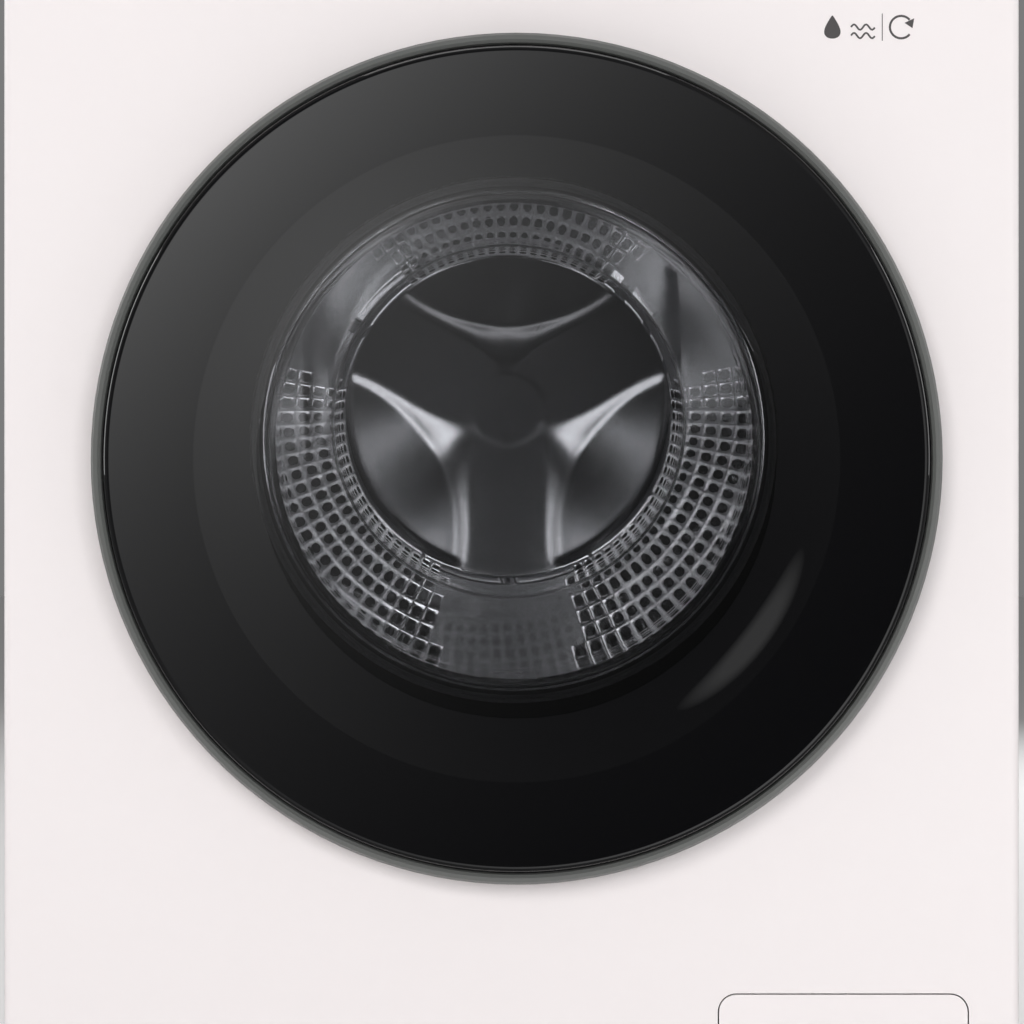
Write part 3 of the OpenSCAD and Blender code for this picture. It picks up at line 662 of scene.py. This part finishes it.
def cell_sheet(rows, columns, place, holed, size):
    """A closed sheet of cells, with a rounded hole in each cell that holed() picks.

    place maps (row, column) to a point, and size is the hole's share of a cell."""
    verts, faces = [], []
    index = {}

    def point(u, v, key=None):
        if key in index:
            return index[key]
        verts.append(place(u, v))
        if key is not None:
            index[key] = len(verts) - 1
        return len(verts) - 1

    for i in range(rows):
        for j in range(columns):
            n = (j + 1) % columns
            corners = [point(i, j, (i, j)), point(i, j + 1, (i, n)),
                       point(i + 1, j + 1, (i + 1, n)), point(i + 1, j, (i + 1, j))]
            if not holed(i, j):
                faces.append(corners)
                continue
            h, c = size / 2, size / 2 * 0.45  # half the hole, and half of its straight sides
            offsets = [(-h, -c), (-h, c), (-c, h), (c, h), (h, c), (h, -c), (c, -h), (-c, -h)]
            ring = [point(i + 0.5 + du, j + 0.5 + dv) for du, dv in offsets]
            faces += [(corners[0], corners[1], ring[1], ring[0]),
                      (corners[1], corners[2], ring[3], ring[2]),
                      (corners[2], corners[3], ring[5], ring[4]),
                      (corners[3], corners[0], ring[7], ring[6]),
                      (corners[1], ring[2], ring[1]), (corners[2], ring[4], ring[3]),
                      (corners[3], ring[6], ring[5]), (corners[0], ring[0], ring[7])]
    return verts, faces


def near_arm(angle, limit):
    """Whether an angle round the drum is within limit degrees of an arm."""
    return any(abs((angle - a + 180) % 360 - 180) < limit for a in ARMS)


def drum_back():
    """The pressed centre and the punched skirt round it, as one sheet."""
    segments = 264
    flat_to, forward, run = 126, 16.5, 112.5
    radii = [2 + (PUNCHED_FROM - 2) * i / 58 for i in range(59)]
    disc, faces = [(DRUM_C[0], back_height(0, 0), DRUM_C[1])], []
    for r in radii:
        for k in range(segments):
            a = 2 * math.pi * k / segments
            x, z = r * math.cos(a), r * math.sin(a)
            disc.append((DRUM_C[0] + x, back_height(x, z), DRUM_C[1] + z))
    for k in range(segments):
        faces.append((0, 1 + k, 1 + (k + 1) % segments))
    for i in range(len(radii) - 1):
        for k in range(segments):
            n = (k + 1) % segments
            low, high = 1 + i * segments, 1 + (i + 1) * segments
            faces.append((low + k, high + k, high + n, low + n))
    columns, rows = 96, 11

    def place(u, v):
        r = PUNCHED_FROM + u * (SKIRT_R - PUNCHED_FROM) / rows
        a = 2 * math.pi * v / columns
        y = DRUM_BACK_Y - forward * max(0.0, r - flat_to) / run
        return (DRUM_C[0] + r * math.cos(a), y, DRUM_C[1] + r * math.sin(a))

    def holed(i, j):
        angle = 360 * (j + 0.5) / columns
        return i < rows - 1 and not near_arm(angle, 9 + 14 * (1 - i / rows))

    skirt = cell_sheet(rows, columns, place, holed, 0.64)
    verts, faces = joined((disc, faces), skirt)
    new_piece("drum_end", verts, faces, "stainless", "drum", ["drum_back"], sharp=30, solid=1.0)


def drum_wall():
    """The punched wall of the drum, with its rolled front edge."""
    columns, rows = 138, 29

    def place(u, v):
        a = 2 * math.pi * v / columns
        y = WALL_Y[0] + u * (WALL_Y[1] - WALL_Y[0]) / rows
        return (DRUM_C[0] + WALL_R * math.cos(a), y, DRUM_C[1] + WALL_R * math.sin(a))

    def holed(i, j):
        angle = 360 * (j + 0.5) / columns
        return 1 < i < rows - 4 and not near_arm(angle, 8.5)

    wall = cell_sheet(rows, columns, place, holed, 0.4)
    front = [(WALL_R, WALL_Y[0]), (238.6, -176.5), (235, -179), (176, -182),
             (171, -181.2), (168.8, -178.5), (168.4, -170.5), (169.4, -170)]
    verts, faces = joined(wall, lathe(front, DRUM_C, columns, closed=False))
    new_piece("drum_side", verts, faces, "stainless", "drum", ["drum_shell"], sharp=40, solid=1.0)


drum_back()
drum_wall()


# ---- Seals, hoses and springs ----

def gasket():
    """The rubber seal, with a fold between the cabinet's port and the tub's mouth."""
    fold_start_y, fold_end_y = -242, -213

    def centre(y):
        return between(PORT_C, DRUM_C, share(y, fold_start_y, fold_end_y))

    outer = [(142, -259), (143, -260.4), (146, -261), (165.5, -261), (166, -259), (166, -241),
             (171, -240), (177, -237), (172, -233), (169, -229), (176, -224), (181, -220), (181.5, -213.2)]
    inner = [(177.5, -213.2), (177, -219), (172, -223), (165.5, -228), (168.5, -233.5), (172, -236.4),
             (168, -237.6), (163, -239), (161.5, -241), (161.5, -253.5), (159, -255.5), (147, -254),
             (143.5, -253.6), (142, -254.6)]
    verts, faces = turned([(*centre(y), r, y) for r, y in outer + inner], 144)
    piece = new_piece("door_seal", verts, faces, "seal_rubber", None, ["door_gasket"], sharp=60)
    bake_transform(piece)


def springs():
    """The two coil springs that the tub hangs from, each with a hook at both ends."""
    turns, steps, coil_r, wire_r = 11, 16, 10.6, 1.7
    low, high = 702, 780
    coils = []
    for side in (-1, 1):
        x, y = DRUM_C[0] + 225 * side, 120
        path = []
        for i in range(turns * steps + 1):
            a = 2 * math.pi * i / steps
            z = low + (high - low) * i / (turns * steps)
            path.append((x + coil_r * math.cos(a), y + coil_r * math.sin(a), z))
        foot = [(x, y, 691), (x + 2, y, 695), (x + 8, y, 699)]
        hook = [(x + 8, y, 783), (x + 2, y, 788), (x, y, 791)]
        coils.append(tube(foot + path + hook, wire_r, 10))
    piece = new_piece("springs", *joined(*coils), "spring_steel", None, ["suspension_springs"])
    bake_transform(piece)


def bellows():
    """The folded boot from the dispenser down to the tub, turned flat and then stood upright."""
    steps, top, bottom = 48, 757, 731
    folds_top, folds_bottom, pitch = 754, 733, 5.2
    profile = []
    for i in range(steps + 1):
        z = top - (top - bottom) * i / steps
        fold = 0 if z > folds_top or z < folds_bottom else 1
        profile.append((21 + fold * 1.6 * math.cos((z - folds_top) * 2 * math.pi / pitch), z))
    profile += [(18.4, bottom), (18.4, top)]
    verts, faces = lathe(profile, (0, 0), 48)
    verts = [(x - 150, z - 60, y) for x, y, z in verts]
    piece = new_piece("dispenser_boot", verts, faces, "seal_rubber", None, ["dispenser_bellows"], sharp=60)
    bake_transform(piece)


def hoses():
    """The smooth fill hose, and the ribbed drain and sump hoses."""
    fill = smooth_route([(-210, 241, 772), (-206, 165, 768), (-204, 110, 772), (-200, 80, 789),
                         (-200, 77, 790)])
    new_piece("fill_line", *tube(fill, 8.3), "seal_rubber", "cabinet", ["fill_hose"])
    drain = smooth_route([(195, -162, 150), (205, -159, 190), (264, -150, 246), (286, -140, 330),
                          (287, -110, 610), (284, 150, 735), (252, 262, 760), (250, 288, 770),
                          (250, 298, 770)])
    ribbed = tube(smooth_route(drain, 4), lambda t: 9.0 + 0.5 * math.sin(t * 700), 16)
    spigot = lathe([(8, 309), (11, 309), (11, 296), (8, 296)], DRAIN_C, 48)
    new_piece("drain_line", *joined(ribbed, spigot), "black_rubber", "cabinet", ["drain_hose"])
    sump = smooth_route([(40, -120, 182), (41, -122, 156), (62, -142, 118), (105, -190, 97),
                         (142, -205, 95)])
    verts, faces = tube(sump, lambda t: 15 + 0.8 * math.sin(t * 60), 28)
    piece = new_piece("sump_line", verts, faces, "black_rubber", None, ["sump_hose"])
    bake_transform(piece)


gasket()
springs()
bellows()
hoses()


# ---- Small details ----

PRINT_Y = (PANEL_Y - 0.12, PANEL_Y + 0.05)


def inked(name, marks, body):
    """Flat printed marks on a body, in the ink's finish."""
    new_piece(name, *joined(*marks), "black_plastic", body, sharp=30).data.materials[0] = INK


def pictogram():
    """A generic mark in the place of printed words: a drop, two waves, a divider and a turning arrow."""
    y0, y1 = PRINT_Y
    z = 722.0
    drop = []
    for i in range(40):
        a = 2 * math.pi * i / 40
        drop.append((189 + 4.2 * math.sin(a) * (1 + 0.65 * math.cos(a)), z - 6.8 * math.cos(a)))
    wave = [(200 + 0.7 * i, z + 1.6 * math.sin(i * 0.62)) for i in range(21)]
    low_wave = [(x, h - 5) for x, h in wave]
    marks = [plate(drop, y0, y1), band(wave, 1.1, y0, y1), band(low_wave, 1.1, y0, y1),
             band([(218.4, z - 8), (218.4, z + 8)], 0.5, y0, y1),
             band(arc((229.5, z), 6.6, 40, 320), 1.3, y0, y1),
             plate([(231.5, z + 2.5), (237.2, z + 5.2), (236.2, z - 0.6)], y0, y1)]
    inked("panel_mark", marks, "cabinet")


def dial_marks():
    """Long and short ticks round the programme dial."""
    marks = []
    for i in range(12):
        a = math.radians(90 + 30 * i)
        r0, r1 = (33, 37.5) if i % 3 == 0 else (34, 36)
        ends = [(DIAL_C[0] + r * math.cos(a), DIAL_C[1] + r * math.sin(a)) for r in (r0, r1)]
        marks.append(band(ends, 0.9, *PRINT_Y))
    inked("dial_marks", marks, "cabinet")


def display_segments():
    """Three dashes in place of digits, and a row of state lights, on the face of the display window."""
    y0, y1 = PANEL_Y - 1.1, PANEL_Y - 0.9
    marks = []
    for k in range(3):
        x = DISPLAY_C[0] - 20 + 20 * k
        marks.append(band([(x - 4.5, DISPLAY_C[1]), (x + 4.5, DISPLAY_C[1])], 1.6, y0, y1))
    for k in range(5):
        centre = (DISPLAY_C[0] - 40 + 20 * k, DISPLAY_C[1] - 11.5)
        marks.append(plate(arc(centre, 0.9, 0, 345, 23), y0, y1))
    new_piece("display_segments", *joined(*marks), "button_grey", "cabinet", sharp=30)


def button_icons():
    """A ring with a bar on the power button, a triangle and two bars on the start button."""
    face = PANEL_Y - 2.5
    y0, y1 = face - 0.1, face + 0.05
    ring = band(arc(POWER_C, 4.2, 120, 420, 30), 0.9, y0, y1)
    bar = band([(POWER_C[0], POWER_C[1] + 1.6), (POWER_C[0], POWER_C[1] + 5.2)], 0.9, y0, y1)
    inked("power_icon", [ring, bar], "power_key")
    x, z = START_C
    triangle = plate([(x - 4.4, z - 3), (x - 4.4, z + 3), (x + 0.4, z)], y0, y1)
    bars = [band([(x + dx, z - 3), (x + dx, z + 3)], 1.0, y0, y1) for dx in (2.2, 4.4)]
    inked("start_icon", [triangle, *bars], "start_key")


def inlet_threads():
    """Thread ridges on the two water inlets."""
    pitch = 1.8
    profile = [(12.9, 300.8)]
    for i in range(4):
        y = 301.2 + pitch * i
        profile += [(13.2, y), (13.75, y + 0.75), (13.75, y + 1.05), (13.2, y + 1.75)]
    profile.append((12.9, 308.6))
    rings = [lathe(profile, inlet, 64) for inlet in INLETS]
    new_piece("inlet_threads", *joined(*rings), "grey_plastic", "cabinet", sharp=40)


pictogram()
dial_marks()
display_segments()
button_icons()
inlet_threads()


# ---- Studio ----

def stage_mesh(name, corners, material):
    """One flat sheet of the studio, which is no part of the machine."""
    mesh = bpy.data.meshes.new(name)
    mesh.from_pydata(corners, [], [(0, 1, 2, 3)])
    mesh.materials.append(material)
    made = bpy.data.objects.new(name, mesh)
    bpy.context.scene.collection.objects.link(made)
    return made


def floor():
    s = Shader("floor", (0.86, 0.85, 0.85), 0.6)
    s.tone(s.noise(6, 3.0), 0.97, 1.02)
    made = stage_mesh("floor", [(-9, -9, 0), (9, -9, 0), (9, 9, 0), (-9, 9, 0)], s.material)
    made.visible_glossy = False
    made.visible_transmission = False


def reflector():
    """A dim card behind the camera, which only reflections see: light upper left, dark lower right.

    The flat glass reflects the card inside near_reach and the dish reflects it beyond far_reach. The
    gradient turns over between the two, so that it runs on across the dish."""
    near_reach, far_reach = 0.58, 0.72
    patch_reach, patch_angle = 0.87, 2.5
    card_y, left, right, bottom, top = -3.2, -2.6, 2.6, -1.9, 2.9
    material = bpy.data.materials.new("card")
    material.use_nodes = True
    material.node_tree.nodes.clear()
    s = Shader.__new__(Shader)  # only for its node helpers: the card has no Principled shader
    s.tree = material.node_tree
    parts = s.node("ShaderNodeSeparateXYZ")
    s.link(s.node("ShaderNodeTexCoord").outputs["Object"], parts.inputs[0])
    x = parts.outputs["X"]
    z = s.math("SUBTRACT", parts.outputs["Z"], 0.47)
    along = s.math("MULTIPLY", s.math("SUBTRACT", z, x), 0.7071)
    square = s.math("ADD", s.math("MULTIPLY", x, x), s.math("MULTIPLY", z, z))
    reach = s.math("SQRT", square)
    near = s.math("DIVIDE", along, 0.53)
    far = s.math("DIVIDE", s.math("MULTIPLY", along, 0.717), s.math("MAXIMUM", reach, 0.01))
    far = s.math("SUBTRACT", far, 0.147)
    outer = s.ranged(reach, 0.0, 1.0, near_reach, far_reach)
    inner = s.math("SUBTRACT", 1.0, outer)
    side = s.math("SUBTRACT", s.math("MULTIPLY", near, inner), s.math("MULTIPLY", far, outer))
    slope = s.ranged(side, 0.0, 1.0, -1.0, 1.0)
    glow = s.math("MULTIPLY", s.math("POWER", 52.0, slope), 0.032)
    out_by = s.math("DIVIDE", s.math("SUBTRACT", reach, patch_reach), 0.07)
    angle = s.math("ARCTAN2", z, x)
    turn_by = s.math("DIVIDE", s.math("SUBTRACT", angle, patch_angle), 0.36)
    spread = s.math("ADD", s.math("MULTIPLY", out_by, out_by), s.math("MULTIPLY", turn_by, turn_by))
    patch = s.ranged(spread, 0.55, 0.0, 0.2, 1.0)
    light = s.node("ShaderNodeEmission")
    s.link(s.math("ADD", glow, patch), light.inputs["Strength"])
    out = s.node("ShaderNodeOutputMaterial")
    s.link(light.outputs[0], out.inputs["Surface"])
    corners = [(left, card_y, bottom), (right, card_y, bottom), (right, card_y, top), (left, card_y, top)]
    card = stage_mesh("card", corners, material)
    card.visible_camera = False
    card.visible_diffuse = False
    card.visible_shadow = False
    card.visible_volume_scatter = False


def area(name, place, target, size, watts, color=(1, 1, 1), glossy=True, spread=180):
    data = bpy.data.lights.new(name, "AREA")
    data.shape = "RECTANGLE"
    data.size, data.size_y = size
    data.energy = watts
    data.spread = math.radians(spread)
    data.color = color
    lamp = bpy.data.objects.new(name, data)
    lamp.location = place
    lamp.rotation_euler = (Vector(target) - Vector(place)).to_track_quat("-Z", "Y").to_euler()
    lamp.visible_camera = False
    lamp.visible_transmission = False
    lamp.visible_glossy = glossy
    bpy.context.scene.collection.objects.link(lamp)


def studio():
    world = bpy.data.worlds.new("studio")
    bpy.context.scene.world = world
    world.use_nodes = True
    background = world.node_tree.nodes["Background"]
    background.inputs["Color"].default_value = (1.0, 0.99, 0.99, 1)
    background.inputs["Strength"].default_value = 0.2
    bpy.context.scene.view_settings.view_transform = "Standard"
    floor()
    reflector()
    centre = (0, 0, 0.45)
    area("key", (-0.6, -4.4, 1.15), centre, (1.1, 1.1), 72, (1.0, 0.985, 0.98), glossy=False)
    area("fill", (0.75, -4.4, 0.85), centre, (1.1, 1.1), 46, (0.99, 0.99, 1.0), glossy=False)
    area("top", (0, 0.2, 3.2), centre, (2.2, 2.2), 30)
    area("back", (1.2, 3.0, 1.8), centre, (1.8, 1.8), 50, glossy=False)
    area("side_left", (-3.0, 0.4, 1.2), centre, (1.4, 1.8), 26)
    area("side_right", (3.0, 0.4, 1.2), centre, (1.4, 1.8), 18)
    # Three dim lamps in the drum stand in for the light that reflects about in it
    area("drum_left", (-0.140, 0.0, 0.363), (-0.07, 0.17, 0.44), (0.16, 0.13), 0.13, spread=90)
    area("drum_right", (0.134, 0.0, 0.363), (0.064, 0.17, 0.44), (0.16, 0.13), 0.13, spread=90)
    area("drum_top", (-0.003, 0.03, 0.70), (-0.003, 0.17, 0.557), (0.18, 0.03), 0.06)


studio()
